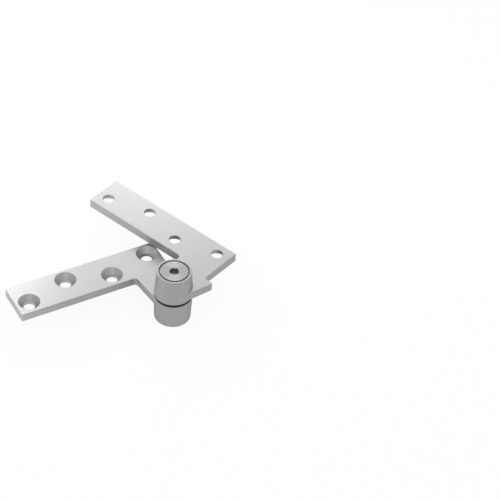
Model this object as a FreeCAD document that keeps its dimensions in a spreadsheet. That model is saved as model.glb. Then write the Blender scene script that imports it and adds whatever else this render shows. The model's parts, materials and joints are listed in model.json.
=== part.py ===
import FreeCAD, Part
import os
import Sketcher

# Offset top pivot for a swing door, in millimetres, +Z up. The origin lies on the pivot axis, midway
# between the two knuckles. The frame leaf lies along -X behind the axis and screws up into the header.
# The door leaf is the same plan turned over, and stands open about the axis. Inside the knuckles a
# captive adjusting screw raises and lowers a pivot pin, which engages a bush in the door leaf.

# Driving sizes: alias, value, what it measures
SIZES = [
    ("leaf_length", "107.95", "leaf, from free end to knuckle end"),
    ("leaf_width", "26.99", "leaf, across"),
    ("leaf_thickness", "6.35", "leaf plate"),
    ("face_offset", "19.05", "pivot axis to the face of the door and frame"),
    ("leaf_setback", "5.0", "near edge of the leaf behind that face"),
    ("end_overhang", "11.1", "knuckle end of the frame leaf past the pivot axis"),
    ("door_end_setback", "1.0", "door leaf further from the jamb than the frame leaf"),
    ("corner_radius", "1.0", "outside corners of the leaf in plan"),
    ("edge_break", "0.4", "broken rims of the leaves and of the knuckles' faces"),
    ("door_edge_break", "0.8", "broken rim of the door leaf at its outer face"),
    ("ear_corner_radius", "2.2", "inside corner between leaf and ear"),
    ("inner_flank_angle", "6.6", "taper of the ear towards the free end, degrees"),
    ("outer_flank_angle", "15.4", "taper of the ear on its other side, degrees"),
    ("flank_inset", "0.5", "ear flanks inside the knuckle's widest circle"),
    ("knuckle_radius", "12.9", "knuckle at its leaf face"),
    ("knuckle_height", "19.05", "knuckle, from its leaf face to its end"),
    ("knuckle_draft", "2.2", "taper of the knuckle side, degrees"),
    ("head_edge_bevel", "0.4", "broken rim of the frame knuckle"),
    ("foot_edge_radius", "1.0", "rounded foot of the door knuckle"),
    ("knuckle_gap", "2.0", "between the two leaves"),
    ("open_angle", "68.2", "door leaf turned from closed as shown, degrees"),
    ("hole_end_margin", "8.5", "first screw hole to the frame leaf's free end"),
    ("hole_knuckle_margin", "9.45", "last screw hole to the frame leaf's knuckle end"),
    ("near_row_margin", "9.65", "near row of holes to the near edge"),
    ("far_row_margin", "8.8", "far row of holes to the far edge"),
    ("hole_radius", "3.95", "screw hole"),
    ("countersink_radius", "7.2", "countersink at the face"),
    ("countersink_angle", "82.0", "countersink, degrees"),
    ("pin_radius", "7.14", "pivot pin"),
    ("pin_travel", "9.525", "lift of the pin, six turns of the screw"),
    ("pin_head_room", "0.3", "raised pin to the screw head"),
    ("pin_foot_room", "0.1", "raised pin above the frame knuckle's face"),
    ("pin_lead", "0.9", "chamfered lead at the foot of the pin"),
    ("running_clearance", "0.05", "radial clearance of turning and sliding fits"),
    ("stem_radius", "4.76", "adjusting screw stem"),
    ("stem_length", "14.3", "stem below the head"),
    ("stem_lead", "0.8", "chamfered tip of the stem"),
    ("head_radius", "9.4", "top face of the screw head"),
    ("head_chamfer", "1.0", "bevel of the head under the staked lip"),
    ("head_thickness", "3.0", "screw head"),
    ("head_clearance", "0.2", "radial clearance of the head in its recess"),
    ("lip_clearance", "0.7", "staked lip to the head, measured along the radius"),
    ("socket_width", "5.556", "hexagon socket across flats"),
    ("socket_depth", "3.8", "hexagon socket"),
    ("socket_mouth", "0.15", "countersunk mouth past the socket's corners"),
    ("socket_turn", "36.2", "socket turned from the X axis, degrees"),
    ("key_radius", "1.2", "key dowel that stops the pin turning"),
    ("key_length", "13.0", "key dowel"),
    ("key_lead", "0.25", "chamfered ends of the key"),
    ("key_clearance", "0.05", "radial clearance of the key"),
    ("bush_radius", "9.525", "outside of the door bush"),
    ("bush_length", "12.0", "door bush"),
    ("bush_lead", "0.5", "chamfered rims of the bush"),
    ("bush_interference", "0.01", "press fit of the bush in the knuckle"),
    ("bore_room", "1.5", "door bore below the bush"),
    ("washer_radius", "12.4", "thrust washer"),
    ("washer_thickness", "1.7", "thrust washer"),
    ("washer_clearance", "0.4", "washer around the pin"),
]

# Values that several pieces share, as expressions in the sheet's terms
FLANK_REACH = "(Sizes.knuckle_radius - Sizes.flank_inset)"
NEAR_EDGE = "(Sizes.face_offset + Sizes.leaf_setback)"
FREE_END = "(Sizes.leaf_length - Sizes.end_overhang)"
GUIDE_RADIUS = "(Sizes.pin_radius + Sizes.running_clearance)"
SEAT_HEIGHT = "(Sizes.knuckle_height - Sizes.head_thickness)"
HEAD_RIM_RADIUS = "(Sizes.head_radius + Sizes.head_chamfer)"
PIN_LENGTH = f"({SEAT_HEIGHT} - Sizes.pin_head_room - Sizes.pin_foot_room)"
SLOT_LENGTH = "(Sizes.key_length - Sizes.pin_head_room + Sizes.key_clearance)"


def flank_at(distance, angle):
    """Distance of an ear flank from the YZ plane, at this distance in front of the pivot axis."""
    return f"{FLANK_REACH} / cos({angle} * 1 deg) + {distance} * tan({angle} * 1 deg)"


def make_sheet(doc):
    sheet = doc.addObject("Spreadsheet::Sheet", "Sizes")
    for row, (alias, value, meaning) in enumerate(SIZES, start=1):
        sheet.set(f"A{row}", meaning)
        sheet.set(f"B{row}", value)
        sheet.setAlias(f"B{row}", alias)
    doc.recompute()
    return sheet


def number(owner, expression):
    """The expression's value as a plain number."""
    value = owner.evalExpression(expression)
    return float(getattr(value, "Value", value))


def make_body(doc, label):
    body = doc.addObject("PartDesign::Body", label)
    body.Label = label
    return body


def add_sketch(body, plane_role, name):
    sketch = body.newObject("Sketcher::SketchObject", name)
    plane = next(f for f in body.Origin.OriginFeatures if f.Role == plane_role)
    sketch.AttachmentSupport = [(plane, "")]
    sketch.MapMode = "FlatFace"
    return sketch


def fix_point(sketch, geometry, end, axis, expression):
    """Holds one coordinate of a point at the expression's value."""
    if expression == "0":
        axis_line = -2 if axis == "X" else -1
        sketch.addConstraint(Sketcher.Constraint("PointOnObject", geometry, end, axis_line))
        return
    value = number(sketch, expression)
    index = sketch.addConstraint(Sketcher.Constraint("Distance" + axis, geometry, end, value))
    sketch.setExpression(f"Constraints[{index}]", expression)


def draw_polygon(sketch, corners):
    """A closed outline through corners given as pairs of expressions."""
    points = [FreeCAD.Vector(number(sketch, x), number(sketch, y), 0) for x, y in corners]
    count = len(points)
    for i in range(count):
        sketch.addGeometry(Part.LineSegment(points[i], points[(i + 1) % count]), False)
    for i in range(count):
        sketch.addConstraint(Sketcher.Constraint("Coincident", i, 2, (i + 1) % count, 1))
    for i, (x, y) in enumerate(corners):
        fix_point(sketch, i, 1, "X", x)
        fix_point(sketch, i, 1, "Y", y)


def draw_circles(sketch, centres, radius):
    for x, y in centres:
        centre = FreeCAD.Vector(number(sketch, x), number(sketch, y), 0)
        circle = Part.Circle(centre, FreeCAD.Vector(0, 0, 1), number(sketch, radius))
        index = sketch.addGeometry(circle, False)
        fix_point(sketch, index, 3, "X", x)
        fix_point(sketch, index, 3, "Y", y)
        constraint = sketch.addConstraint(Sketcher.Constraint("Radius", index, circle.Radius))
        sketch.setExpression(f"Constraints[{constraint}]", radius)


def turn_profile(body, kind, name, corners):
    """Revolves a half section, given as radius and height, about the pivot axis, to add material
    (Revolution) or to take it away (Groove)."""
    sketch = add_sketch(body, "XZ_Plane", name + "Section")
    draw_polygon(sketch, corners)
    feature = body.newObject("PartDesign::" + kind, name)
    feature.Profile = sketch
    feature.ReferenceAxis = (sketch, ["V_Axis"])
    feature.Angle = 360
    return feature


def edge_names(shape, wanted):
    return [f"Edge{i}" for i, edge in enumerate(shape.Edges, start=1) if wanted(edge)]


def round_edges(body, name, wanted, radius):
    """Rounds the edges of the body, as it is so far, that the test picks."""
    body.Document.recompute()
    base = body.Tip
    fillet = body.newObject("PartDesign::Fillet", name)
    fillet.Base = (base, edge_names(base.Shape, wanted))
    fillet.setExpression("Radius", radius)
    return fillet


def bevel_edges(body, name, wanted, size):
    """Bevels the edges of the body, as it is so far, that the test picks."""
    body.Document.recompute()
    base = body.Tip
    chamfer = body.newObject("PartDesign::Chamfer", name)
    chamfer.Base = (base, edge_names(base.Shape, wanted))
    chamfer.setExpression("Size", size)
    return chamfer


def is_upright_at(x, y):
    """A test for the straight upright edge over this point of the plan."""

    def test(edge):
        low, high = edge.BoundBox.ZMin, edge.BoundBox.ZMax
        middle = edge.CenterOfMass
        return high - low > 1 and abs(middle.x - x) < 0.01 and abs(middle.y - y) < 0.01

    return test


def is_level_at(height):
    """A test for a level edge at this height."""
    return lambda edge: edge.BoundBox.ZLength < 0.01 and abs(edge.BoundBox.ZMin - height) < 0.01


def leaf_plan(setback):
    """Corners of the leaf and its ear, seen from above, from the free end round. Both ends of the leaf
    lie further from the jamb by the setback."""
    step_x = flank_at("Sizes.face_offset", "Sizes.outer_flank_angle")
    inner_x = flank_at(NEAR_EDGE, "Sizes.inner_flank_angle")
    outer = "Sizes.outer_flank_angle * 1 deg"
    inner = "Sizes.inner_flank_angle * 1 deg"
    return {
        "free_near": (f"-{FREE_END} - {setback}", NEAR_EDGE),
        "free_far": (f"-{FREE_END} - {setback}", f"{NEAR_EDGE} + Sizes.leaf_width"),
        "end_far": (f"Sizes.end_overhang - {setback}", f"{NEAR_EDGE} + Sizes.leaf_width"),
        "end_step": (f"Sizes.end_overhang - {setback}", "Sizes.face_offset"),
        "ear_step": (step_x, "Sizes.face_offset"),
        "outer_root": (f"{FLANK_REACH} * cos({outer})", f"-{FLANK_REACH} * sin({outer})"),
        "inner_root": (f"-{FLANK_REACH} * cos({inner})", f"-{FLANK_REACH} * sin({inner})"),
        "ear_corner": (f"-({inner_x})", NEAR_EDGE),
    }


def screw_hole_centres():
    """Four holes along the leaf, in turn in the near and the far row. Both leaves are drilled alike,
    measured from the pivot axis."""
    near_row = f"{NEAR_EDGE} + Sizes.near_row_margin"
    far_row = f"{NEAR_EDGE} + Sizes.leaf_width - Sizes.far_row_margin"
    first = f"-{FREE_END} + Sizes.hole_end_margin"
    pitch = "(Sizes.leaf_length - Sizes.hole_end_margin - Sizes.hole_knuckle_margin) / 3"
    return [(f"{first} + {i} * {pitch}", near_row if i % 2 == 0 else far_row) for i in range(4)]


def add_leaf(doc, label, up, setback, outer_break, finish_end, end_size):
    """Plate, ear, knuckle and screw holes. The face towards the other leaf is at height zero, and the
    rest rises from it, or hangs from it where up is False. The knuckle's end rim is bevelled or rounded."""
    body = make_body(doc, label)
    sign = "" if up else "-"
    plan = leaf_plan(setback)

    outline = add_sketch(body, "XY_Plane", label + "_plan")
    draw_polygon(outline, list(plan.values()))
    plate = body.newObject("PartDesign::Pad", label + "_plate")
    plate.Profile = outline
    plate.Reversed = not up
    plate.setExpression("Length", "Sizes.leaf_thickness")

    for corner, radius in [
        ("free_near", "Sizes.corner_radius"),
        ("free_far", "Sizes.corner_radius"),
        ("end_far", "Sizes.corner_radius"),
        ("end_step", "Sizes.corner_radius"),
        ("ear_step", "Sizes.corner_radius"),
        ("ear_corner", "Sizes.ear_corner_radius"),
    ]:
        x, y = (number(outline, expression) for expression in plan[corner])
        round_edges(body, f"{label}_{corner}", is_upright_at(x, y), radius)
    outer_height = number(body, f"{sign}Sizes.leaf_thickness")
    bevel_edges(body, label + "_inner_rim", is_level_at(0), "Sizes.edge_break")
    bevel_edges(body, label + "_outer_rim", is_level_at(outer_height), outer_break)

    end_radius = "Sizes.knuckle_radius - Sizes.knuckle_height * tan(Sizes.knuckle_draft * 1 deg)"
    turn_profile(body, "Revolution", label + "_knuckle", [
        ("0", "0"),
        ("Sizes.knuckle_radius - Sizes.edge_break", "0"),
        ("Sizes.knuckle_radius", f"{sign}Sizes.edge_break"),
        (end_radius, f"{sign}Sizes.knuckle_height"),
        ("0", f"{sign}Sizes.knuckle_height"),
    ])
    end_height = number(body, f"{sign}Sizes.knuckle_height")
    finish_end(body, label + "_knuckle_end", is_level_at(end_height), end_size)

    centres = add_sketch(body, "XY_Plane", label + "_hole_centres")
    draw_circles(centres, screw_hole_centres(), "Sizes.hole_radius")
    doc.recompute()
    holes = body.newObject("PartDesign::Hole", label + "_screw_holes")
    holes.Profile = centres
    holes.Reversed = up
    holes.Threaded = False
    holes.DepthType = "ThroughAll"
    holes.setExpression("Diameter", "2 * Sizes.hole_radius")
    holes.HoleCutType = "Countersink"
    holes.HoleCutCustomValues = True
    holes.setExpression("HoleCutDiameter", "2 * Sizes.countersink_radius")
    holes.setExpression("HoleCutCountersinkAngle", "Sizes.countersink_angle")
    doc.recompute()
    return body


def make_frame_leaf(doc):
    body = add_leaf(
        doc,
        "frame_leaf",
        up=True,
        setback="0",
        outer_break="Sizes.edge_break",
        finish_end=bevel_edges,
        end_size="Sizes.head_edge_bevel",
    )
    body.setExpression("Placement.Base.z", "Sizes.knuckle_gap / 2")

    # Guide bore for the pin, recess for the screw head, and the lip staked in over its bevel
    bevel_foot = f"({SEAT_HEIGHT} + Sizes.head_thickness - Sizes.head_chamfer)"
    recess_radius = f"({HEAD_RIM_RADIUS} + Sizes.head_clearance)"
    turn_profile(body, "Groove", "FrameBore", [
        ("0", "0"),
        (GUIDE_RADIUS, "0"),
        (GUIDE_RADIUS, SEAT_HEIGHT),
        (recess_radius, SEAT_HEIGHT),
        (recess_radius, f"{bevel_foot} + Sizes.lip_clearance - Sizes.head_clearance"),
        ("Sizes.head_radius + Sizes.lip_clearance", "Sizes.knuckle_height"),
        ("0", "Sizes.knuckle_height"),
    ])

    # Half-round seat for the key, drilled down from the recess beside the guide bore
    seat = body.newObject("PartDesign::SubtractiveCylinder", "KeySeat")
    seat.setExpression("Radius", "Sizes.key_radius + Sizes.key_clearance")
    seat.setExpression("Height", "Sizes.key_length")
    seat.setExpression("Placement.Base.y", "Sizes.pin_radius")
    seat.setExpression("Placement.Base.z", f"{SEAT_HEIGHT} - Sizes.key_length")
    return body


def make_door_leaf(doc):
    body = add_leaf(
        doc,
        "door_leaf",
        up=False,
        setback="Sizes.door_end_setback",
        outer_break="Sizes.door_edge_break",
        finish_end=round_edges,
        end_size="Sizes.foot_edge_radius",
    )
    body.Placement.Rotation = FreeCAD.Rotation(FreeCAD.Vector(0, 0, 1), 1)
    body.setExpression("Placement.Base.z", "-Sizes.knuckle_gap / 2")
    body.setExpression("Placement.Rotation.Angle", "Sizes.open_angle")

    # Blind bore for the bush
    bore_depth = "-(Sizes.bush_length + Sizes.bore_room)"
    turn_profile(body, "Groove", "DoorBore", [
        ("0", "0"),
        ("Sizes.bush_radius", "0"),
        ("Sizes.bush_radius", bore_depth),
        ("0", bore_depth),
    ])
    return body


def make_adjusting_screw(doc):
    body = make_body(doc, "adjusting_screw")
    body.setExpression("Placement.Base.z", f"Sizes.knuckle_gap / 2 + {SEAT_HEIGHT}")
    turn_profile(body, "Revolution", "ScrewForm", [
        ("0", "-Sizes.stem_length"),
        ("Sizes.stem_radius - Sizes.stem_lead", "-Sizes.stem_length"),
        ("Sizes.stem_radius", "-Sizes.stem_length + Sizes.stem_lead"),
        ("Sizes.stem_radius", "0"),
        (HEAD_RIM_RADIUS, "0"),
        (HEAD_RIM_RADIUS, "Sizes.head_thickness - Sizes.head_chamfer"),
        ("Sizes.head_radius", "Sizes.head_thickness"),
        ("0", "Sizes.head_thickness"),
    ])

    # Hexagon socket, with its mouth countersunk just past the corners
    corner_radius = "Sizes.socket_width / sqrt(3)"
    socket = body.newObject("PartDesign::SubtractivePrism", "Socket")
    socket.Polygon = 6
    socket.Placement.Rotation = FreeCAD.Rotation(FreeCAD.Vector(0, 0, 1), 1)
    socket.setExpression("Circumradius", corner_radius)
    socket.setExpression("Height", "Sizes.socket_depth")
    socket.setExpression("Placement.Base.z", "Sizes.head_thickness - Sizes.socket_depth")
    socket.setExpression("Placement.Rotation.Angle", "Sizes.socket_turn")
    mouth_depth = "(Sizes.socket_width / sqrt(3) - Sizes.socket_width / 2 + Sizes.socket_mouth)"
    turn_profile(body, "Groove", "SocketMouth", [
        ("0", f"Sizes.head_thickness - {mouth_depth}"),
        ("Sizes.socket_width / 2", f"Sizes.head_thickness - {mouth_depth}"),
        (f"{corner_radius} + Sizes.socket_mouth", "Sizes.head_thickness"),
        ("0", "Sizes.head_thickness"),
    ])
    return body


def make_pivot_pin(doc):
    """The pin as shown, lowered by its whole travel, tapped through for the screw."""
    body = make_body(doc, "pivot_pin")
    body.setExpression("Placement.Base.z", "Sizes.knuckle_gap / 2 + Sizes.pin_foot_room - Sizes.pin_travel")
    bore = "(Sizes.stem_radius + Sizes.running_clearance)"
    turn_profile(body, "Revolution", "PinForm", [
        (bore, "0"),
        ("Sizes.pin_radius - Sizes.pin_lead", "0"),
        ("Sizes.pin_radius", "Sizes.pin_lead"),
        ("Sizes.pin_radius", PIN_LENGTH),
        (bore, PIN_LENGTH),
    ])

    # Slot that runs on the key, open at the top of the pin
    slot = body.newObject("PartDesign::SubtractiveCylinder", "KeySlot")
    slot.setExpression("Radius", "Sizes.key_radius + Sizes.key_clearance")
    slot.setExpression("Height", SLOT_LENGTH)
    slot.setExpression("Placement.Base.y", "Sizes.pin_radius")
    slot.setExpression("Placement.Base.z", f"{PIN_LENGTH} - {SLOT_LENGTH}")
    return body


def make_pin_key(doc):
    body = make_body(doc, "pin_key")
    body.setExpression("Placement.Base.y", "Sizes.pin_radius")
    body.setExpression("Placement.Base.z", f"Sizes.knuckle_gap / 2 + {SEAT_HEIGHT} - Sizes.key_length")
    turn_profile(body, "Revolution", "KeyForm", [
        ("0", "0"),
        ("Sizes.key_radius - Sizes.key_lead", "0"),
        ("Sizes.key_radius", "Sizes.key_lead"),
        ("Sizes.key_radius", "Sizes.key_length - Sizes.key_lead"),
        ("Sizes.key_radius - Sizes.key_lead", "Sizes.key_length"),
        ("0", "Sizes.key_length"),
    ])
    return body


def make_door_bush(doc):
    body = make_body(doc, "door_bush")
    body.setExpression("Placement.Base.z", "-Sizes.knuckle_gap / 2")
    outside = "(Sizes.bush_radius + Sizes.bush_interference)"
    turn_profile(body, "Revolution", "BushForm", [
        (GUIDE_RADIUS, "-Sizes.bush_lead"),
        (f"{GUIDE_RADIUS} + Sizes.bush_lead", "0"),
        (outside, "0"),
        (outside, "-Sizes.bush_length + Sizes.bush_lead"),
        (f"{outside} - Sizes.bush_lead", "-Sizes.bush_length"),
        (GUIDE_RADIUS, "-Sizes.bush_length"),
    ])
    return body


def make_thrust_washer(doc):
    body = make_body(doc, "thrust_washer")
    body.setExpression("Placement.Base.z", "-Sizes.knuckle_gap / 2")
    bore = "(Sizes.pin_radius + Sizes.washer_clearance)"
    turn_profile(body, "Revolution", "WasherForm", [
        (bore, "0"),
        ("Sizes.washer_radius", "0"),
        ("Sizes.washer_radius", "Sizes.washer_thickness"),
        (bore, "Sizes.washer_thickness"),
    ])
    return body


def check_document(doc, bodies):
    """Stops on any object that failed, and on any body without one sound solid."""
    for item in doc.Objects:
        if {"Invalid", "Error"} & set(item.State):
            raise RuntimeError(f"{item.Label} failed: {item.State}")
    for body in bodies:
        shape = body.Shape
        if shape.isNull() or not shape.isValid() or len(shape.Solids) != 1:
            raise RuntimeError(f"{body.Label} isn't one sound solid")


def main():
    doc = FreeCAD.newDocument("pivot_hinge")
    make_sheet(doc)
    bodies = [
        make_frame_leaf(doc),
        make_door_leaf(doc),
        make_adjusting_screw(doc),
        make_pivot_pin(doc),
        make_pin_key(doc),
        make_door_bush(doc),
        make_thrust_washer(doc),
    ]
    doc.recompute()
    check_document(doc, bodies)
    os.makedirs("parts", exist_ok=True)
    for body in bodies:
        body.Shape.exportStep(f"parts/{body.Label}.step")
        box = body.Shape.BoundBox
        print(f"{body.Label}: {body.Shape.Volume:.1f} mm3, X {box.XMin:.2f} {box.XMax:.2f},"
              f" Y {box.YMin:.2f} {box.YMax:.2f}, Z {box.ZMin:.2f} {box.ZMax:.2f}")


main()
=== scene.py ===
import json
import math

import bmesh
import bpy
import numpy as np
from mathutils import Matrix, Vector


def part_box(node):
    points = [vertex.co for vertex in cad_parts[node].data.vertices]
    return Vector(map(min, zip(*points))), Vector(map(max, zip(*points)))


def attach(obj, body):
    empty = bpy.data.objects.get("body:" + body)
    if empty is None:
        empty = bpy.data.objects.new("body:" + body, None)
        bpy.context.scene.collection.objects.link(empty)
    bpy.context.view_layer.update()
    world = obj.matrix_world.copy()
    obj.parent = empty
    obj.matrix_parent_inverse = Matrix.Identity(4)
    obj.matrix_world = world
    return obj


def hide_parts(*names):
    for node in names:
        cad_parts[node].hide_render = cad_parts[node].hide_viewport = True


bl_info = {
    "name": "Offset pivot hinge",
    "version": (1, 0, 0),
    "blender": (4, 5, 0),
    "location": "View3D > Sidebar > Pivot hinge",
    "description": "Finishes an offset top pivot for a swing door: leaves, knuckles, screw and washer",
    "category": "Object",
}

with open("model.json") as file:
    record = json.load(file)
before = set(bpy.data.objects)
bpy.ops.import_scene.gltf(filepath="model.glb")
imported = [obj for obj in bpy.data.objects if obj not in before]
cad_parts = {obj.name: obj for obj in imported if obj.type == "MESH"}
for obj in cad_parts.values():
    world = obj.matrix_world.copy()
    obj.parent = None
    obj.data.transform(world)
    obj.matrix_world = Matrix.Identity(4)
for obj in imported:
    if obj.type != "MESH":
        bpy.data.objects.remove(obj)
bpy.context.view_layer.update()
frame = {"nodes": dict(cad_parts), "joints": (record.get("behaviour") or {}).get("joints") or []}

MM = 0.001
FULL_TURN = 2 * math.pi
# How far a cutter runs past the face that it opens in
OVERCUT = 1 * MM
FRAME_LOW, FRAME_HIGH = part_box("frame_leaf")
DOOR_LOW, DOOR_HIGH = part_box("door_leaf")
SCREW_LOW, SCREW_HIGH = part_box("adjusting_screw")
WASHER_LOW, WASHER_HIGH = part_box("thrust_washer")
SWING = next(joint for joint in frame["joints"] if joint["name"] == "door_swing")
DOOR_TURN = math.radians(-SWING["range_deg"][0])


def linear(colour):
    """The linear red, green and blue of an sRGB hex colour."""
    parts = np.array([int(colour[i : i + 2], 16) for i in (1, 3, 5)]) / 255
    return tuple(np.where(parts <= 0.04045, parts / 12.92, ((parts + 0.055) / 1.055) ** 2.4))


def length_property(name, description, millimetres):
    return bpy.props.FloatProperty(
        name=name, description=description, default=millimetres * MM, unit="LENGTH", precision=5
    )


def angle_property(name, description, degrees):
    return bpy.props.FloatProperty(
        name=name, description=description, default=math.radians(degrees), subtype="ANGLE"
    )


def colour_property(name, description, colour):
    return bpy.props.FloatVectorProperty(
        name=name, description=description, default=linear(colour), subtype="COLOR", min=0, max=1
    )


class LeafSizes(bpy.types.PropertyGroup):
    """Plan and section of both leaves, which are the same forging turned over."""

    thickness: length_property("Thickness", "Leaf plate", 6.35)
    width: length_property("Width", "Leaf across", 26.99)
    face_offset: length_property("Face offset", "Pivot axis to the door's face", 19.05)
    end_overhang: length_property("End overhang", "Knuckle end of the frame leaf past the axis", 11.1)
    door_setback: length_property("Door setback", "Door leaf, further from the jamb by", 1.0)
    inner_rim: length_property("Inner rim", "Rounded edges at a leaf's inner face", 0.4)
    frame_rim: length_property("Frame rim", "Rounded edges at the frame leaf's outer face", 0.5)
    door_rim: length_property("Door rim", "Rounded edges at the door leaf's outer face", 1.15)
    ear_rim: length_property("Ear rim", "Rounded edges at the inner face of the frame leaf's ear", 1.15)
    corner_margin: length_property("Corner margin", "Outside corners larger than the rim by", 0.1)
    step_radius: length_property("Step radius", "Inside corner of the step at the door's face", 0.8)
    ear_radius: length_property("Ear radius", "Inside corner between leaf and ear", 2.2)
    inner_flank: angle_property("Inner flank", "Taper of the ear towards the free end", 6.6)
    outer_flank: angle_property("Outer flank", "Taper of the ear on its other side", 15.4)
    flank_inset: length_property("Flank inset", "Ear flanks inside the knuckle's circle", 0.5)
    root_radius: length_property("Root radius", "Small fillet round the foot of the knuckle", 0.5)


class KnuckleSizes(bpy.types.PropertyGroup):
    """The drafted knuckles, what is bored in them, and the washer between them."""

    radius: length_property("Radius", "Knuckle at its leaf face", 12.9)
    draft: angle_property("Draft", "Taper of the door knuckle's side", 2.2)
    head_draft: angle_property("Head draft", "Taper of the frame knuckle's side", 3.6)
    face_edge: length_property("Face edge", "Broken edge at the leaf face", 0.4)
    head_edge: length_property("Head edge", "Rounded rim of the frame knuckle", 0.5)
    foot_edge: length_property("Foot edge", "Rounded foot of the door knuckle", 0.8)
    guide_radius: length_property("Guide radius", "Bore for the pivot pin", 7.19)
    recess_radius: length_property("Recess radius", "Recess for the screw head", 10.6)
    lip_radius: length_property("Lip radius", "Inside of the staked lip", 10.3)
    lip_depth: length_property("Lip depth", "Height of the staked lip", 0.5)
    bush_radius: length_property("Bush radius", "Bore for the door bush", 9.525)
    bush_depth: length_property("Bush depth", "Depth of the door bore", 13.5)
    key_radius: length_property("Key radius", "Half-round seat of the key", 1.25)
    key_length: length_property("Key length", "Length of that seat", 13.0)
    key_offset: length_property("Key offset", "Pivot axis to the key", 7.14)
    washer_bore: length_property("Washer bore", "Hole of the thrust washer, as a radius", 7.54)
    washer_edge: length_property("Washer edge", "Rounded edges of the thrust washer", 0.25)


class ScrewHoleSizes(bpy.types.PropertyGroup):
    """Four countersunk holes in each leaf, in turn in the near and the far row."""

    radius: length_property("Radius", "Screw hole", 3.95)
    countersink: length_property("Countersink", "Radius of the countersink at the face", 7.2)
    countersink_angle: angle_property("Countersink angle", "Angle of the cone", 82.0)
    pitch: length_property("Pitch", "From one hole to the next along the leaf", 30.0)
    end_margin: length_property("End margin", "First hole to the free end", 8.5)
    near_margin: length_property("Near margin", "Near row to the near edge", 9.65)
    far_margin: length_property("Far margin", "Far row to the far edge", 8.8)
    edge: length_property("Edge", "Broken edge at the rims of the holes", 0.15)


class ScrewSizes(bpy.types.PropertyGroup):
    """The adjusting screw: a disc head with a hexagon socket on a threaded stem."""

    head_radius: length_property("Head radius", "Top face of the head", 9.2)
    head_bevel: length_property("Head bevel", "Step of the head under the staked lip", 1.2)
    head_edge: length_property("Head edge", "Broken edges of the head", 0.1)
    head_thickness: length_property("Head thickness", "Screw head", 3.0)
    stem_radius: length_property("Stem radius", "Crest of the thread", 4.76)
    stem_lead: length_property("Stem lead", "Chamfered tip of the stem", 0.8)
    stem_neck: length_property("Stem neck", "Plain neck under the head", 0.6)
    thread_pitch: length_property("Thread pitch", "One turn of the thread", 1.5875)
    thread_depth: length_property("Thread depth", "Crest to root", 0.8)
    socket_width: length_property("Socket width", "Across the flats", 5.556)
    socket_depth: length_property("Socket depth", "Below the top face", 3.8)
    socket_mouth: length_property("Socket mouth", "Countersink past the corners", 0.15)
    socket_turn: angle_property("Socket turn", "A corner of the socket, from the X axis", 36.2)


class FinishColours(bpy.types.PropertyGroup):
    """Colours of the finishes."""

    plate: colour_property("Satin plate", "Satin plated steel of the leaves", "#CDCDCE")
    turned: colour_property("Turned steel", "Faced top of the adjusting screw", "#C6C6C6")
    ground: colour_property("Ground steel", "Pivot pin and key", "#B9BABC")
    bronze: colour_property("Bronze", "Oil-impregnated bush", "#A97B4A")
    nylon: colour_property("Nylon", "Black thrust washer", "#1C1C1E")
    floor: colour_property("Floor", "Studio floor", "#F4F4F4")


# Shapes

def arc(centre, radius, start, end, steps):
    """Points on a circle of this radius about centre, from the start angle to the end angle."""
    angles = np.linspace(start, end, steps)
    return np.column_stack([centre[0] + radius * np.cos(angles), centre[1] + radius * np.sin(angles)])


def rounded_corner(before, corner, after, radius, steps=8):
    """An arc that touches both sides of a corner. Its centre lies on the corner's bisector, at
    radius / sin(half the corner's angle). Gives the arc's points and their outward normals, for an
    outline that runs anticlockwise."""
    to_before = (before - corner) / np.linalg.norm(before - corner)
    to_after = (after - corner) / np.linalg.norm(after - corner)
    half = math.acos(np.clip(to_before @ to_after, -1, 1)) / 2
    bisector = (to_before + to_after) / np.linalg.norm(to_before + to_after)
    centre = corner + bisector * radius / math.sin(half)
    ends = [corner + side * radius / math.tan(half) - centre for side in (to_before, to_after)]
    start, end = (math.atan2(side[1], side[0]) for side in ends)
    turn = (end - start + math.pi) % FULL_TURN - math.pi
    points = arc(centre, radius, start, start + turn, steps)
    normals = (points - centre) / radius * (1 if turn > 0 else -1)
    return points, normals


def leaf_outline(leaf, knuckle, setback, largest_rim):
    """Plan of leaf and ear seen from above, anticlockwise: points, outward normals, and whether a
    point is on the ear, as 1 or 0. A flank is a line at reach from the pivot axis, turned by its taper,
    so at a distance in front of the axis it lies reach / cos(taper) + distance * tan(taper) to the
    side."""
    reach = knuckle.radius - leaf.flank_inset
    near, far = FRAME_HIGH.y - leaf.width, FRAME_HIGH.y
    free_x, end_x = FRAME_LOW.x - setback, leaf.end_overhang - setback
    inner, outer = leaf.inner_flank, leaf.outer_flank
    step_x = reach / math.cos(outer) + leaf.face_offset * math.tan(outer)
    ear_x = -reach / math.cos(inner) - near * math.tan(inner)
    plate_corner = largest_rim + leaf.corner_margin
    ear_corner = leaf.ear_rim + leaf.corner_margin
    corners = [
        ((free_x, near), plate_corner, 0.0),
        ((ear_x, near), leaf.ear_radius, 0.0),
        ((-reach * math.cos(inner), -reach * math.sin(inner)), ear_corner, 1.0),
        ((reach * math.cos(outer), -reach * math.sin(outer)), ear_corner, 1.0),
        ((step_x, leaf.face_offset), ear_corner, 1.0),
        ((end_x, leaf.face_offset), leaf.step_radius, 1.0),
        ((end_x, far), plate_corner, 0.0),
        ((free_x, far), plate_corner, 0.0),
    ]
    places = [np.array(place) for place, _, _ in corners]
    pieces = []
    for i, (_, radius, on_ear) in enumerate(corners):
        points, normals = rounded_corner(places[i - 1], places[i], places[(i + 1) % len(places)], radius)
        pieces.append((points, normals, np.full(len(points), on_ear)))
    return tuple(np.concatenate(parts) for parts in zip(*pieces))


def grid_faces(rows, columns):
    """Quads of a grid of points, row by row, in which the last column joins the first."""
    row, column = np.meshgrid(np.arange(rows - 1), np.arange(columns), indexing="ij")
    here = row * columns + column
    right = row * columns + (column + 1) % columns
    return np.stack([here, right, right + columns, here + columns], -1).reshape(-1, 4).tolist()


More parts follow.
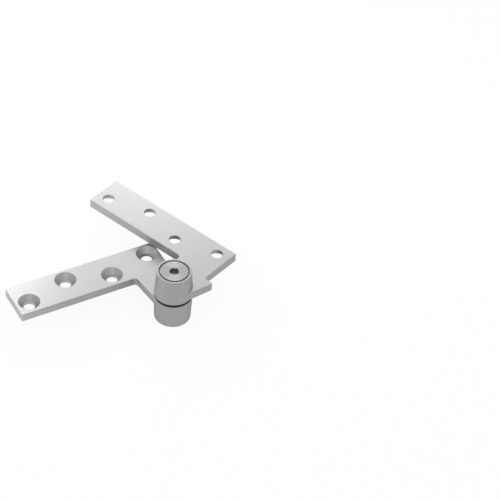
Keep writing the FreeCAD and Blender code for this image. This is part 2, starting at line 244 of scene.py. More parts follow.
def closed_faces(rows, columns):
    """Quads of a grid of points that runs round a solid, with one face across each end."""
    first_row = list(range(columns))
    last_row = list(range((rows - 1) * columns, rows * columns))
    return [*grid_faces(rows, columns), first_row[::-1], last_row]


def mesh_object(name, points, faces):
    """A new object of the scene with this mesh."""
    mesh = bpy.data.meshes.new(name)
    mesh.from_pydata(points.tolist(), [], faces)
    mesh.validate()
    piece = bpy.data.objects.new(name, mesh)
    bpy.context.scene.collection.objects.link(piece)
    return piece


def extruded(name, outline, normals, section):
    """A section, given as inset from the outline and height, carried along a closed outline: a point
    is outline - inset * normal. The section may be one for all, or one for each point of the outline.
    Both ends are closed by one face."""
    if section.ndim == 2:
        section = section[:, None]
    rings = outline - section[..., :1] * normals
    heights = np.broadcast_to(section[..., 1:], (*rings.shape[:2], 1))
    points = np.concatenate([rings, heights], -1).reshape(-1, 3)
    return mesh_object(name, points, closed_faces(*rings.shape[:2]))


def turned(name, section, steps=192, centre=(0.0, 0.0), ring=False):
    """A section, given as radius and height from low to high on the outside, turned about an upright
    axis: a point is (radius cos a, radius sin a, height). An end on the axis is one point. A ring's
    section is a closed loop that doesn't reach the axis."""
    angles = np.arange(steps) * FULL_TURN / steps
    radius, height = section[:, 0, None], section[:, 1, None]
    points = np.stack(
        [
            centre[0] + radius * np.cos(angles),
            centre[1] + radius * np.sin(angles),
            np.broadcast_to(height, (len(section), steps)),
        ],
        -1,
    ).reshape(-1, 3)
    if ring:
        points = np.concatenate([points, points[:steps]])
    piece = mesh_object(name, points, grid_faces(len(points) // steps, steps))
    weld(piece)
    return piece


def weld(piece, distance=0.2e-6):
    """Merges points that coincide, drops faces that this leaves without area, and points every face
    outwards."""
    work = bmesh.new()
    work.from_mesh(piece.data)
    bmesh.ops.remove_doubles(work, verts=work.verts, dist=distance)
    bmesh.ops.dissolve_degenerate(work, edges=work.edges, dist=distance)
    bmesh.ops.recalc_face_normals(work, faces=work.faces)
    work.to_mesh(piece.data)
    work.free()


def settle(piece):
    """Puts the result of the piece's modifiers in its mesh."""
    depsgraph = bpy.context.evaluated_depsgraph_get()
    mesh = bpy.data.meshes.new_from_object(piece.evaluated_get(depsgraph))
    piece.modifiers.clear()
    piece.data = mesh


def combine(piece, other, operation):
    """Joins other to the piece, cuts it away or keeps what they share, and removes other."""
    step = piece.modifiers.new(operation.title(), "BOOLEAN")
    step.operation = operation
    step.solver = "EXACT"
    step.object = other
    settle(piece)
    bpy.data.objects.remove(other)


def finish_shading(piece):
    """Smooth faces with edges of over 32 degrees kept sharp, and normals weighted so that large flats
    stay flat."""
    weld(piece)
    piece.data.shade_smooth()
    piece.data.set_sharp_from_angle(angle=math.radians(32))
    weighting = piece.modifiers.new("Weighted normals", "WEIGHTED_NORMAL")
    weighting.keep_sharp = True
    weighting.weight = 80
    settle(piece)


# Materials

def add_node(tree, kind, inputs=None, **settings):
    """Adds a node, sets its settings, and gives each input a value or a link."""
    node = tree.nodes.new(kind)
    for key, value in settings.items():
        setattr(node, key, value)
    for key, value in (inputs or {}).items():
        if isinstance(value, bpy.types.NodeSocket):
            tree.links.new(value, node.inputs[key])
        else:
            node.inputs[key].default_value = value
    return node


def new_material(name):
    """An empty material and its tree of nodes."""
    material = bpy.data.materials.new(name)
    material.use_nodes = True
    material.node_tree.nodes.clear()
    return material, material.node_tree


def with_alpha(colour):
    return (*colour, 1.0)


def satin_plated_steel(colour):
    """Satin chromium plate on tumbled forged steel. The eye sees a soft grey metal with broad, even
    highlights, a faint cloudiness and a fine grain. The real grain is about 0.1 mm and is drawn at
    0.6 mm, so that it shows."""
    cloud_size = 14 * MM
    grain_size = 0.6 * MM
    material, tree = new_material("satin_plated_steel_finish")
    place = add_node(tree, "ShaderNodeTexCoord").outputs["Object"]
    cloud = add_node(
        tree, "ShaderNodeTexNoise", {"Vector": place, "Scale": 1 / cloud_size, "Detail": 3.0}
    ).outputs["Fac"]
    grain = add_node(
        tree,
        "ShaderNodeTexNoise",
        {"Vector": place, "Scale": 1 / grain_size, "Detail": 4.0, "Roughness": 0.7},
    ).outputs["Fac"]
    light = tuple(min(1.0, c * 1.04) for c in colour)
    dark = tuple(c * 0.95 for c in colour)
    tint = add_node(
        tree,
        "ShaderNodeMix",
        {"Factor": cloud, "A": with_alpha(dark), "B": with_alpha(light)},
        data_type="RGBA",
    )
    speckle = add_node(tree, "ShaderNodeMapRange", {"Value": grain, "To Min": 0.94, "To Max": 1.06})
    base = add_node(
        tree,
        "ShaderNodeMix",
        {"Factor": 1.0, "A": tint.outputs["Result"], "B": speckle.outputs["Result"]},
        data_type="RGBA",
        blend_type="MULTIPLY",
    )
    roughness = add_node(tree, "ShaderNodeMapRange", {"Value": cloud, "To Min": 0.38, "To Max": 0.46})
    bump = add_node(
        tree, "ShaderNodeBump", {"Height": grain, "Strength": 0.4, "Distance": 0.05 * MM}
    )
    shader = add_node(
        tree,
        "ShaderNodeBsdfPrincipled",
        {
            "Base Color": base.outputs["Result"],
            "Metallic": 1.0,
            "Roughness": roughness.outputs["Result"],
            "Normal": bump.outputs["Normal"],
        },
    )
    add_node(tree, "ShaderNodeOutputMaterial", {"Surface": shader.outputs["BSDF"]})
    return material


def turned_steel(colour):
    """Steel faced on a lathe. Rings about the axis stretch each highlight into a bow tie across the
    disc. The real feed is about 0.1 mm and is drawn at 0.5 mm, so that it shows. Below the faced top,
    the step round the rim and the socket are painted darker, as painted shade in the groove and the
    socket."""
    feed = 0.5 * MM
    blotch_size = 5 * MM
    # Painted shade in the groove and the socket: from 0.1 mm down to 0.7 mm below the top face, the
    # colour darkens
    painted_shade_top = SCREW_HIGH.z - 0.7 * MM
    faced_foot = SCREW_HIGH.z - 0.1 * MM
    # Colour of the painted shade, 0.7 of the steel's
    painted_recess_shade = tuple(c * 0.7 for c in colour)
    material, tree = new_material("turned_steel_finish")
    place = add_node(tree, "ShaderNodeTexCoord").outputs["Object"]
    flat = add_node(
        tree, "ShaderNodeVectorMath", {0: place, 1: (1.0, 1.0, 0.0)}, operation="MULTIPLY"
    )
    outwards = add_node(
        tree, "ShaderNodeVectorMath", {0: flat.outputs["Vector"]}, operation="NORMALIZE"
    )
    radius = add_node(tree, "ShaderNodeVectorMath", {0: flat.outputs["Vector"]}, operation="LENGTH")
    turns = add_node(
        tree, "ShaderNodeMath", {0: radius.outputs["Value"], 1: FULL_TURN / feed}, operation="MULTIPLY"
    )
    ring = add_node(tree, "ShaderNodeMath", {0: turns.outputs["Value"]}, operation="SINE")
    bump = add_node(
        tree,
        "ShaderNodeBump",
        {"Height": ring.outputs["Value"], "Strength": 0.3, "Distance": 0.01 * MM},
    )
    blotch = add_node(
        tree, "ShaderNodeTexNoise", {"Vector": place, "Scale": 1 / blotch_size, "Detail": 2.0}
    ).outputs["Fac"]
    roughness = add_node(tree, "ShaderNodeMapRange", {"Value": blotch, "To Min": 0.34, "To Max": 0.42})
    height = add_node(tree, "ShaderNodeSeparateXYZ", {"Vector": place})
    # 1 on the faced top, fading to the painted shade below it
    faced = add_node(
        tree,
        "ShaderNodeMapRange",
        {"Value": height.outputs["Z"], "From Min": painted_shade_top, "From Max": faced_foot},
    )
    base = add_node(
        tree,
        "ShaderNodeMix",
        {
            "Factor": faced.outputs["Result"],
            "A": with_alpha(painted_recess_shade),
            "B": with_alpha(colour),
        },
        data_type="RGBA",
    )
    shader = add_node(
        tree,
        "ShaderNodeBsdfPrincipled",
        {
            "Base Color": base.outputs["Result"],
            "Metallic": 1.0,
            "Roughness": roughness.outputs["Result"],
            "Anisotropic": 0.75,
            "Tangent": outwards.outputs["Vector"],
            "Normal": bump.outputs["Normal"],
        },
    )
    add_node(tree, "ShaderNodeOutputMaterial", {"Surface": shader.outputs["BSDF"]})
    return material


def ground_steel(colour):
    """Hardened steel, centreless ground: bright, with faint rings round the axis. The noise is
    stretched across the axis, so that it makes rings about 0.3 mm apart."""
    ring_spacing = 0.3 * MM
    material, tree = new_material("ground_steel_finish")
    place = add_node(tree, "ShaderNodeTexCoord").outputs["Object"]
    squeezed = add_node(tree, "ShaderNodeMapping", {"Vector": place, "Scale": (0.02, 0.02, 1.0)})
    rings = add_node(
        tree,
        "ShaderNodeTexNoise",
        {"Vector": squeezed.outputs["Vector"], "Scale": 1 / ring_spacing, "Detail": 2.0},
    ).outputs["Fac"]
    roughness = add_node(tree, "ShaderNodeMapRange", {"Value": rings, "To Min": 0.16, "To Max": 0.28})
    bump = add_node(
        tree, "ShaderNodeBump", {"Height": rings, "Strength": 0.15, "Distance": 0.005 * MM}
    )
    shader = add_node(
        tree,
        "ShaderNodeBsdfPrincipled",
        {
            "Base Color": with_alpha(colour),
            "Metallic": 1.0,
            "Roughness": roughness.outputs["Result"],
            "Normal": bump.outputs["Normal"],
        },
    )
    add_node(tree, "ShaderNodeOutputMaterial", {"Surface": shader.outputs["BSDF"]})
    return material


def sintered_bronze(colour):
    """Pressed and sintered bronze full of oil: brown, dull, with dark pores of about 0.2 mm."""
    pore_spacing = 0.35 * MM
    pore_colour = tuple(c * 0.35 for c in colour)
    material, tree = new_material("sintered_bronze_finish")
    place = add_node(tree, "ShaderNodeTexCoord").outputs["Object"]
    pores = add_node(
        tree, "ShaderNodeTexVoronoi", {"Vector": place, "Scale": 1 / pore_spacing}
    ).outputs["Distance"]
    depth = add_node(tree, "ShaderNodeMapRange", {"Value": pores, "From Max": 0.35})
    base = add_node(
        tree,
        "ShaderNodeMix",
        {"Factor": depth.outputs["Result"], "A": with_alpha(pore_colour), "B": with_alpha(colour)},
        data_type="RGBA",
    )
    bump = add_node(
        tree,
        "ShaderNodeBump",
        {"Height": depth.outputs["Result"], "Strength": 0.5, "Distance": 0.05 * MM},
    )
    shader = add_node(
        tree,
        "ShaderNodeBsdfPrincipled",
        {
            "Base Color": base.outputs["Result"],
            "Metallic": 1.0,
            "Roughness": 0.48,
            "Normal": bump.outputs["Normal"],
        },
    )
    add_node(tree, "ShaderNodeOutputMaterial", {"Surface": shader.outputs["BSDF"]})
    return material


def black_nylon(colour):
    """Moulded nylon: dark, slightly waxy, with a fine spark-eroded grain of 0.3 mm."""
    grain_size = 0.3 * MM
    material, tree = new_material("black_nylon_finish")
    place = add_node(tree, "ShaderNodeTexCoord").outputs["Object"]
    grain = add_node(
        tree, "ShaderNodeTexNoise", {"Vector": place, "Scale": 1 / grain_size, "Detail": 2.0}
    ).outputs["Fac"]
    roughness = add_node(tree, "ShaderNodeMapRange", {"Value": grain, "To Min": 0.5, "To Max": 0.65})
    bump = add_node(tree, "ShaderNodeBump", {"Height": grain, "Strength": 0.3, "Distance": 0.02 * MM})
    shader = add_node(
        tree,
        "ShaderNodeBsdfPrincipled",
        {
            "Base Color": with_alpha(colour),
            "Roughness": roughness.outputs["Result"],
            "Normal": bump.outputs["Normal"],
        },
    )
    add_node(tree, "ShaderNodeOutputMaterial", {"Surface": shader.outputs["BSDF"]})
    return material


FINISHES = {
    "satin_plated_steel": (satin_plated_steel, "plate"),
    "turned_steel": (turned_steel, "turned"),
    "ground_steel": (ground_steel, "ground"),
    "sintered_bronze": (sintered_bronze, "bronze"),
    "black_nylon": (black_nylon, "nylon"),
}


def finish_of(slot_name):
    """The finish of a slot of the record, made once. The loaded CAD nodes bring plain materials with
    the names of the slots, so a finish has a name of its own."""
    existing = bpy.data.materials.get(slot_name + "_finish")
    if existing:
        return existing
    make, colour_name = FINISHES[slot_name]
    return make(tuple(getattr(bpy.context.scene.hinge_colours, colour_name)))


def dress(piece, slot_name):
    """Gives a piece the finish made for this slot of the record, in place of its materials."""
    piece.data.materials.clear()
    piece.data.materials.append(finish_of(slot_name))


# Pieces

def knuckle_section(knuckle, height, draft, edge_radius):
    """Half section of a knuckle: flat face, drafted side, rounded end. The side runs in by
    height * tan(draft), and the end's arc touches side and end. The broken edge at the face has one
    point in its middle."""
    face_edge = knuckle.face_edge
    middle = face_edge * 0.3
    end_radius = knuckle.radius - height * math.tan(draft)
    arc_radius = end_radius + edge_radius * (math.tan(draft) - 1 / math.cos(draft))
    end_arc = arc((arc_radius, height - edge_radius), edge_radius, draft, math.pi / 2, 9)
    return np.array([
        (0.0, 0.0),
        (knuckle.radius - face_edge, 0.0),
        (knuckle.radius - middle, middle),
        (knuckle.radius - face_edge * math.tan(draft), face_edge),
        *end_arc,
        (0.0, height),
    ])


def hole_section(hole, thickness):
    """Half section of the cutter for one countersunk hole: countersink at height 0, hole above. Both
    rims flare by the broken edge, and the last point of the cone lies just above its foot."""
    edge = hole.edge
    slope = math.tan(hole.countersink_angle / 2)
    cone_depth = (hole.countersink - hole.radius) / slope
    return np.array([
        (0.0, -OVERCUT),
        (hole.countersink + 2 * edge + OVERCUT, -OVERCUT),
        (hole.countersink + edge, 0.0),
        (hole.countersink - edge * slope * 0.5, edge),
        (hole.radius + edge * slope * 0.3, cone_depth - edge * 0.3),
        (hole.radius, cone_depth + edge),
        (hole.radius, thickness - edge),
        (hole.radius + edge, thickness),
        (hole.radius + edge + OVERCUT, thickness + OVERCUT),
        (0.0, thickness + OVERCUT),
    ])


def plate_section(thickness, inner_rim, outer_rim):
    """The side of the plate as inset and height, for each point of the outline: a quarter circle at
    the inner face, which is at height zero, and one at the outer face."""
    quarter = arc((1, 1), 1, -math.pi / 2, -math.pi, 6)[:, None]
    low = quarter * inner_rim[:, None]
    high = quarter[::-1] * outer_rim * (1, -1) + (0, thickness)
    return np.concatenate([low, np.broadcast_to(high, low.shape)])


def root_fillet(leaf, knuckle, draft, outline, normals):
    """Hollow fillet round the knuckle's foot, kept only where the ear carries it."""
    top, r = leaf.thickness, leaf.root_radius
    foot_radius = knuckle.radius - top * math.tan(draft)
    hollow = arc((foot_radius + r, top + r), r, -math.pi / 2, -math.pi, 6)
    fillet = turned("fillet", np.array([
        (foot_radius - r, top - r),
        (foot_radius + r, top - r),
        *hollow,
        (foot_radius - r, top + r),
    ]), ring=True)
    over_ear = extruded("over_ear", outline, normals, np.array([
        (leaf.ear_rim, top / 2),
        (leaf.ear_rim, top * 2),
    ]))
    weld(over_ear)
    combine(fillet, over_ear, "INTERSECT")
    return fillet


def make_leaf(name, height, setback, ear_rim, outer_rim, draft, end_edge, bore):
    """Plate, ear and knuckle joined, with the holes and the bore cut. It is built with its inner face
    at height zero, rising from it. Both leaves are drilled alike, measured from the pivot axis."""
    scene = bpy.context.scene
    leaf, knuckle, hole = scene.hinge_leaf, scene.hinge_knuckle, scene.hinge_holes
    outline, normals, on_ear = leaf_outline(leaf, knuckle, setback, outer_rim)
    inner_rim = leaf.inner_rim + (ear_rim - leaf.inner_rim) * on_ear
    piece = extruded(name, outline, normals, plate_section(leaf.thickness, inner_rim, outer_rim))
    weld(piece)
    combine(piece, root_fillet(leaf, knuckle, draft, outline, normals), "UNION")
    combine(piece, turned("knuckle", knuckle_section(knuckle, height, draft, end_edge)), "UNION")
    combine(piece, turned("bore", bore), "DIFFERENCE")
    first = FRAME_LOW.x + hole.end_margin
    near = FRAME_HIGH.y - leaf.width + hole.near_margin
    far = FRAME_HIGH.y - hole.far_margin
    for i in range(4):
        centre = (first + i * hole.pitch, near if i % 2 == 0 else far)
        cutter = turned("hole", hole_section(hole, leaf.thickness), steps=96, centre=centre)
        combine(piece, cutter, "DIFFERENCE")
    return piece


def frame_bore_section(knuckle, height, seat):
    """Half section of the cutter for the guide bore, the recess above it and the mouth of the lip."""
    edge = 0.1 * MM
    return np.array([
        (0.0, -OVERCUT),
        (knuckle.guide_radius + edge + OVERCUT, -OVERCUT),
        (knuckle.guide_radius + edge, 0.0),
        (knuckle.guide_radius, edge),
        (knuckle.guide_radius, seat),
        (knuckle.recess_radius, seat),
        (knuckle.recess_radius, height - knuckle.lip_depth),
        (knuckle.lip_radius, height - edge),
        (knuckle.lip_radius + edge, height),
        (knuckle.lip_radius + edge + OVERCUT, height + OVERCUT),
        (0.0, height + OVERCUT),
    ])


def door_bore_section(knuckle):
    """Half section of the cutter for the blind bore of the bush."""
    return np.array([
        (0.0, -OVERCUT),
        (knuckle.bush_radius, -OVERCUT),
        (knuckle.bush_radius, knuckle.bush_depth),
        (0.0, knuckle.bush_depth),
    ])


def head_section(screw, seat, top):
    """Half section of the screw's head. Under the staked lip it steps down steeply, so that a narrow
    groove shows round the top face."""
    rim = screw.head_radius + screw.head_bevel
    neck = screw.stem_radius - screw.thread_depth
    edge = screw.head_edge
    step = top - screw.head_bevel
    return np.array([
        (0.0, seat - screw.stem_neck / 2),
        (neck, seat - screw.stem_neck / 2),
        (neck, seat),
        (rim - edge, seat),
        (rim, seat + edge),
        (rim, step - edge),
        (rim - edge, step),
        (screw.head_radius + 2 * edge, step + edge),
        (screw.head_radius + edge / 2, top - edge),
        (screw.head_radius - edge, top),
        (0.0, top),
    ])


def threaded_stem(screw, low, high):
    """Round stem whose radius falls from crest to root and back once in a pitch, along a helix: the
    phase is height / pitch - angle / full turn, of which the whole turns are dropped. The thread's
    height above its root, as a share of its depth, is flank * distance of the phase from the root's
    - root_flat, held between 0 and 1."""
    steps, rows = 96, 161
    flank, root_flat = 2.6, 0.15
    angles = np.arange(steps) * FULL_TURN / steps
    heights = np.linspace(low, high, rows)[:, None]
    phase = (heights / screw.thread_pitch - angles[None] / FULL_TURN) % 1.0
    tooth = np.clip(flank * np.abs(phase - 0.5) - root_flat, 0.0, 1.0)
    radius = screw.stem_radius - screw.thread_depth * (1 - tooth)
    lead = np.clip((heights - low) / screw.stem_lead, 0.0, 1.0)
    radius = np.minimum(radius, screw.stem_radius - screw.stem_lead * (1 - lead))
    root = screw.stem_radius - screw.thread_depth
    radius = np.where(heights > high - screw.stem_neck, root, radius)
    points = np.stack(
        [radius * np.cos(angles), radius * np.sin(angles), np.broadcast_to(heights, radius.shape)], -1
    ).reshape(-1, 3)
    stem = mesh_object("stem", points, closed_faces(rows, steps))
    weld(stem)
    return stem


def cut_socket(piece, screw, top):
    """Cuts the hexagon socket, and countersinks its mouth just past the corners."""
    flat = screw.socket_width / 2
    corner = screw.socket_width / math.sqrt(3)
    mouth = corner + screw.socket_mouth
    mouth_foot = top - (mouth - flat)
    angles = screw.socket_turn + np.arange(6) * FULL_TURN / 6
    hexagon = np.column_stack([np.cos(angles), np.sin(angles)]) * corner
    socket = extruded("socket", hexagon, hexagon, np.array([
        (0.0, top - screw.socket_depth),
        (0.0, top + OVERCUT),
    ]))
    weld(socket)
    combine(piece, socket, "DIFFERENCE")
    cone = turned("mouth", np.array([
        (0.0, mouth_foot),
        (flat, mouth_foot),
        (mouth + OVERCUT, top + OVERCUT),
        (0.0, top + OVERCUT),
    ]), steps=96)
    combine(piece, cone, "DIFFERENCE")


class HINGE_OT_frame_leaf(bpy.types.Operator):
    """Builds the frame leaf with its knuckle, bores and key seat"""

    bl_idname = "hinge.frame_leaf"
    bl_label = "Frame leaf"

    def execute(self, context):
        scene = context.scene
        leaf, knuckle, screw = scene.hinge_leaf, scene.hinge_knuckle, scene.hinge_screw
        height = FRAME_HIGH.z - FRAME_LOW.z
        seat = height - screw.head_thickness
        bore = frame_bore_section(knuckle, height, seat)
        piece = make_leaf(
            "frame_leaf_forging", height, 0.0, leaf.ear_rim, leaf.frame_rim,
            knuckle.head_draft, knuckle.head_edge, bore,
        )
        key_seat = turned("key_seat", np.array([
            (0.0, seat - knuckle.key_length),
            (knuckle.key_radius, seat - knuckle.key_length),
            (knuckle.key_radius, seat + OVERCUT),
            (0.0, seat + OVERCUT),
        ]), steps=32, centre=(0.0, knuckle.key_offset))
        combine(piece, key_seat, "DIFFERENCE")
        piece.data.transform(Matrix.Translation((0, 0, FRAME_LOW.z)))
        finish_shading(piece)
        dress(piece, "satin_plated_steel")
        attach(piece, "frame")
        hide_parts("frame_leaf")
        return {"FINISHED"}


class HINGE_OT_door_leaf(bpy.types.Operator):
    """Builds the door leaf: the same forging turned over, open about the pivot axis"""

    bl_idname = "hinge.door_leaf"
    bl_label = "Door leaf"

    def execute(self, context):
        leaf, knuckle = context.scene.hinge_leaf, context.scene.hinge_knuckle
        height = DOOR_HIGH.z - DOOR_LOW.z
        bore = door_bore_section(knuckle)
        piece = make_leaf(
            "door_leaf_forging", height, leaf.door_setback, leaf.inner_rim, leaf.door_rim,
            knuckle.draft, knuckle.foot_edge, bore,
        )
        turned_over = Matrix.Diagonal((1, 1, -1, 1))
        place = Matrix.Translation((0, 0, DOOR_HIGH.z)) @ Matrix.Rotation(DOOR_TURN, 4, "Z")
        piece.data.transform(place @ turned_over)
        finish_shading(piece)
        dress(piece, "satin_plated_steel")
        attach(piece, "door")
        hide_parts("door_leaf")
        return {"FINISHED"}


class HINGE_OT_adjusting_screw(bpy.types.Operator):
    """Builds the adjusting screw with its disc head, hexagon socket and threaded stem"""

    bl_idname = "hinge.adjusting_screw"
    bl_label = "Adjusting screw"

    def execute(self, context):
        screw = context.scene.hinge_screw
        top = SCREW_HIGH.z
        seat = top - screw.head_thickness
        piece = turned("adjusting_screw_turned", head_section(screw, seat, top))
        combine(piece, threaded_stem(screw, SCREW_LOW.z, seat - screw.stem_neck / 4), "UNION")
        cut_socket(piece, screw, top)
        finish_shading(piece)
        dress(piece, "turned_steel")
        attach(piece, "screw")
        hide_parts("adjusting_screw")
        return {"FINISHED"}


class HINGE_OT_thrust_washer(bpy.types.Operator):
    """Builds the black washer between the knuckles, with rounded edges"""

    bl_idname = "hinge.thrust_washer"
    bl_label = "Thrust washer"

    def execute(self, context):
        knuckle = context.scene.hinge_knuckle
        low, high = WASHER_LOW.z, WASHER_HIGH.z
        outside, inside, r = WASHER_HIGH.x, knuckle.washer_bore, knuckle.washer_edge
        section = np.concatenate([
            arc((outside - r, low + r), r, -math.pi / 2, 0, 5),
            arc((outside - r, high - r), r, 0, math.pi / 2, 5),
            arc((inside + r, high - r), r, math.pi / 2, math.pi, 5),
            arc((inside + r, low + r), r, math.pi, 1.5 * math.pi, 5),
        ])
        piece = turned("thrust_washer_moulded", section, steps=128, ring=True)
        finish_shading(piece)
        dress(piece, "black_nylon")
        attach(piece, "door")
        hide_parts("thrust_washer")
        return {"FINISHED"}


class HINGE_OT_inner_parts(bpy.types.Operator):
    """Gives the pivot pin, its key and the door bush their finishes"""

    bl_idname = "hinge.inner_parts"
    bl_label = "Inner parts"

    def execute(self, context):
        dress(frame["nodes"]["pivot_pin"], "ground_steel")
        dress(frame["nodes"]["pin_key"], "ground_steel")
        dress(frame["nodes"]["door_bush"], "sintered_bronze")
        return {"FINISHED"}


# Stage

# The camera that the photo was taken with, as fitted to it: it stands opposite the open side of the
# hinge, looks down at it and is rolled a little. The aim is where the pivot axis falls in the picture.
CAMERA_AZIMUTH = math.radians(36.2)
CAMERA_ELEVATION = math.radians(43.0)
CAMERA_ROLL = math.radians(4.79)
CAMERA_DISTANCE = 1.319
PICTURE_WIDTH = 500
FOCAL_PIXELS = 2002
AXIS_IN_PICTURE = (173.23, 292.98)
SENSOR_WIDTH = 36.0

# Three small softboxes hang beyond the free ends of the leaves and are turned towards the middle of
# them: name, place and size in metres, and power in watts.
SOFTBOXES = (
    ("key", (-0.24, 0.28, 0.16), 0.12, 0.108),
    ("left", (-0.20, 0.02, 0.12), 0.08, 0.050),
    ("low", (-0.20, 0.10, 0.08), 0.12, 0.013),
)
MIDDLE_OF_LEAVES = (-0.08, 0.0, 0.0)

# The studio's levels of light, where 1 renders as white. Metal sees dim walls with a bright band
# over them. The band fades between two distances from its middle plane, as sines of an angle.
PLAIN_LEVEL = 1.0
WALL_LEVEL = 0.55
BAND_LEVEL = 0.86
BAND_FADE = (0.05, 0.30)
ACROSS_THE_BAND = (0.807, 0.591, 0.0)

# The paper on the floor as metal sees it, with painted light and a painted shadow: its level at the
# knuckles and at the free ends with the distances between which it changes, and a round painted shadow
# under the inner ends of the leaves.
PAPER_AT_KNUCKLES = 0.59
PAPER_AT_FREE_ENDS = 0.86
PAPER_FADE = (35 * MM, 120 * MM)
TOWARDS_FREE_ENDS = (-0.807, -0.591, 0.0)
SHADE_LEVEL = 0.2
SHADE_FADE = (12 * MM, 60 * MM)
SHADE_MIDDLE = (-22 * MM, 26 * MM, 0.0)

# The share of plain white in the paper as the camera sees it, half the floor's width, and a gap that
# keeps the floor off the foot of the door knuckle.
PLAIN_WHITE_SHARE = 0.92
FLOOR_HALF = 4.0
FLOOR_GAP = 0.02 * MM


def add_camera():
    """A camera that shows the pivot axis at its place in the picture."""
    sin_a, cos_a = math.sin(CAMERA_AZIMUTH), math.cos(CAMERA_AZIMUTH)
    sin_e, cos_e = math.sin(CAMERA_ELEVATION), math.cos(CAMERA_ELEVATION)
    back = Vector((sin_a * cos_e, -cos_a * cos_e, sin_e))
    level = Vector((cos_a, sin_a, 0))
    upright = back.cross(level)
    right = math.cos(CAMERA_ROLL) * level + math.sin(CAMERA_ROLL) * upright
    up = -math.sin(CAMERA_ROLL) * level + math.cos(CAMERA_ROLL) * upright
    scale = CAMERA_DISTANCE / FOCAL_PIXELS
    across = (AXIS_IN_PICTURE[0] - PICTURE_WIDTH / 2) * scale
    above = -(AXIS_IN_PICTURE[1] - PICTURE_WIDTH / 2) * scale
    data = bpy.data.cameras.new("camera")
    data.sensor_width = SENSOR_WIDTH
    data.lens = FOCAL_PIXELS / PICTURE_WIDTH * SENSOR_WIDTH
    data.clip_end = 50
    camera = bpy.data.objects.new("camera", data)
    turn = Matrix((right, up, back)).transposed().to_4x4()
    place = CAMERA_DISTANCE * back - across * right - above * up
    camera.matrix_world = Matrix.Translation(place) @ turn
    bpy.context.scene.collection.objects.link(camera)
    bpy.context.scene.camera = camera


def add_softbox(name, place, size, power):
    """A square area lamp, turned towards the middle of the leaves."""
    data = bpy.data.lights.new(name, "AREA")
    data.shape = "SQUARE"
    data.size = size
    data.energy = power
    lamp = bpy.data.objects.new(name, data)
    lamp.location = place
    away = Vector(place) - Vector(MIDDLE_OF_LEAVES)
    lamp.rotation_euler = away.to_track_quat("Z", "Y").to_euler()
    bpy.context.scene.collection.objects.link(lamp)


def add_world():
    """White to the camera. Metal sees a grey studio with a brighter band of ceiling and wall, which
    runs from above the camera to the far side of the object. Everything else gets a plain level."""
    world = bpy.data.worlds.new("studio")
    bpy.context.scene.world = world
    world.use_nodes = True
    tree = world.node_tree
    tree.nodes.clear()
    rays = add_node(tree, "ShaderNodeLightPath")
    direction = add_node(tree, "ShaderNodeTexCoord").outputs["Generated"]
    offset = add_node(
        tree, "ShaderNodeVectorMath", {0: direction, 1: ACROSS_THE_BAND}, operation="DOT_PRODUCT"
    )
    off_band = add_node(tree, "ShaderNodeMath", {0: offset.outputs["Value"]}, operation="ABSOLUTE")
    wall = add_node(
        tree,
        "ShaderNodeMapRange",
        {
            "Value": off_band.outputs["Value"],
            "From Min": BAND_FADE[0],
            "From Max": BAND_FADE[1],
            "To Min": BAND_LEVEL,
            "To Max": WALL_LEVEL,
        },
        interpolation_type="SMOOTHSTEP",
    )
    in_metal = add_node(
        tree,
        "ShaderNodeMath",
        {0: rays.outputs["Is Glossy Ray"], 1: rays.outputs["Is Transmission Ray"]},
        operation="MAXIMUM",
    )
    reflected = add_node(
        tree,
        "ShaderNodeMix",
        {"Factor": in_metal.outputs["Value"], "A": PLAIN_LEVEL, "B": wall.outputs["Result"]},
    )
    strength = add_node(
        tree,
        "ShaderNodeMix",
        {"Factor": rays.outputs["Is Camera Ray"], "A": reflected.outputs["Result"], "B": 1.0},
    )
    background = add_node(
        tree, "ShaderNodeBackground", {"Color": (1, 1, 1, 1), "Strength": strength.outputs["Result"]}
    )
    add_node(tree, "ShaderNodeOutputWorld", {"Surface": background.outputs["Background"]})


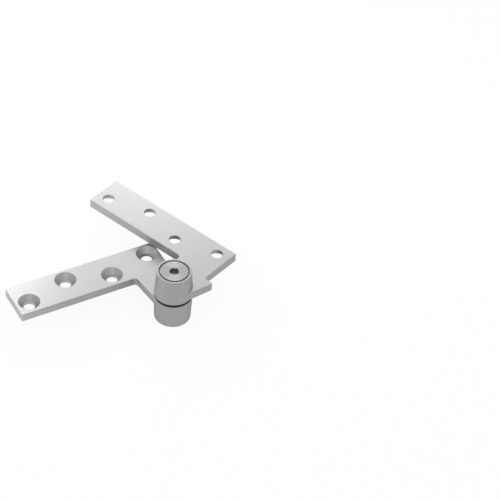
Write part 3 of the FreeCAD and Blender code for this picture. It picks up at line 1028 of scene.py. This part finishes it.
def floor_material(colour):
    """Matt white studio paper. Most of what the camera sees of it is a plain white, so only part of the
    shadow shows. Metal sees the paper as a glow at a level of its own, with painted light that is
    brighter beside the free ends and a painted shadow under the inner ends of the leaves."""
    material, tree = new_material("studio_paper")
    rays = add_node(tree, "ShaderNodeLightPath")
    place = add_node(tree, "ShaderNodeTexCoord").outputs["Object"]
    paper = add_node(tree, "ShaderNodeBsdfDiffuse", {"Color": with_alpha(colour)})
    in_metal = add_node(
        tree,
        "ShaderNodeMath",
        {0: rays.outputs["Is Glossy Ray"], 1: rays.outputs["Is Transmission Ray"]},
        operation="MAXIMUM",
    )
    # Painted light: the paper's glow in metal is brighter towards the free ends
    along = add_node(
        tree, "ShaderNodeVectorMath", {0: place, 1: TOWARDS_FREE_ENDS}, operation="DOT_PRODUCT"
    )
    reflected = add_node(
        tree,
        "ShaderNodeMapRange",
        {
            "Value": along.outputs["Value"],
            "From Min": PAPER_FADE[0],
            "From Max": PAPER_FADE[1],
            "To Min": PAPER_AT_KNUCKLES,
            "To Max": PAPER_AT_FREE_ENDS,
        },
        interpolation_type="SMOOTHSTEP",
    )
    # Painted shadow: the paper's glow in metal is darker round a spot under the inner ends of the leaves
    from_shade = add_node(
        tree, "ShaderNodeVectorMath", {0: place, 1: SHADE_MIDDLE}, operation="DISTANCE"
    )
    shade = add_node(
        tree,
        "ShaderNodeMapRange",
        {
            "Value": from_shade.outputs["Value"],
            "From Min": SHADE_FADE[0],
            "From Max": SHADE_FADE[1],
            "To Min": SHADE_LEVEL,
        },
        interpolation_type="SMOOTHSTEP",
    )
    shaded = add_node(
        tree,
        "ShaderNodeMath",
        {0: reflected.outputs["Result"], 1: shade.outputs["Result"]},
        operation="MULTIPLY",
    )
    level = add_node(
        tree,
        "ShaderNodeMix",
        {"Factor": in_metal.outputs["Value"], "A": 1.0, "B": shaded.outputs["Value"]},
    )
    glow = add_node(
        tree, "ShaderNodeEmission", {"Color": (1, 1, 1, 1), "Strength": level.outputs["Result"]}
    )
    camera_share = add_node(
        tree,
        "ShaderNodeMath",
        {0: rays.outputs["Is Camera Ray"], 1: PLAIN_WHITE_SHARE},
        operation="MULTIPLY",
    )
    share = add_node(
        tree,
        "ShaderNodeMath",
        {0: camera_share.outputs["Value"], 1: in_metal.outputs["Value"]},
        operation="MAXIMUM",
    )
    mix = add_node(
        tree,
        "ShaderNodeMixShader",
        {0: share.outputs["Value"], 1: paper.outputs["BSDF"], 2: glow.outputs["Emission"]},
    )
    add_node(tree, "ShaderNodeOutputMaterial", {"Surface": mix.outputs["Shader"]})
    return material


class HINGE_OT_stage(bpy.types.Operator):
    """Sets up the floor, the light and the camera"""

    bl_idname = "hinge.stage"
    bl_label = "Stage"

    def execute(self, context):
        height = DOOR_LOW.z - FLOOR_GAP
        corners = ((-1, -1), (1, -1), (1, 1), (-1, 1))
        points = np.array([(x * FLOOR_HALF, y * FLOOR_HALF, height) for x, y in corners])
        floor = mesh_object("floor", points, [[0, 1, 2, 3]])
        floor.data.materials.append(floor_material(tuple(context.scene.hinge_colours.floor)))
        add_world()
        for softbox in SOFTBOXES:
            add_softbox(*softbox)
        add_camera()
        context.scene.view_settings.view_transform = "Standard"
        return {"FINISHED"}


class HINGE_PT_panel(bpy.types.Panel):
    """Lists the steps that build the hinge"""

    bl_label = "Pivot hinge"
    bl_idname = "HINGE_PT_panel"
    bl_space_type = "VIEW_3D"
    bl_region_type = "UI"
    bl_category = "Pivot hinge"

    def draw(self, context):
        for step in STEPS:
            self.layout.operator(step.bl_idname)


STEPS = (
    HINGE_OT_frame_leaf,
    HINGE_OT_door_leaf,
    HINGE_OT_adjusting_screw,
    HINGE_OT_thrust_washer,
    HINGE_OT_inner_parts,
    HINGE_OT_stage,
)
GROUPS = {
    "hinge_leaf": LeafSizes,
    "hinge_knuckle": KnuckleSizes,
    "hinge_holes": ScrewHoleSizes,
    "hinge_screw": ScrewSizes,
    "hinge_colours": FinishColours,
}


def register():
    for cls in (*GROUPS.values(), *STEPS, HINGE_PT_panel):
        bpy.utils.register_class(cls)
    for name, group in GROUPS.items():
        setattr(bpy.types.Scene, name, bpy.props.PointerProperty(type=group))


def unregister():
    for name in GROUPS:
        delattr(bpy.types.Scene, name)
    for cls in reversed((*GROUPS.values(), *STEPS, HINGE_PT_panel)):
        bpy.utils.unregister_class(cls)


def main():
    register()
    bpy.ops.hinge.frame_leaf()
    bpy.ops.hinge.door_leaf()
    bpy.ops.hinge.adjusting_screw()
    bpy.ops.hinge.thrust_washer()
    bpy.ops.hinge.inner_parts()
    bpy.ops.hinge.stage()


if __name__ == "__main__":
    main()
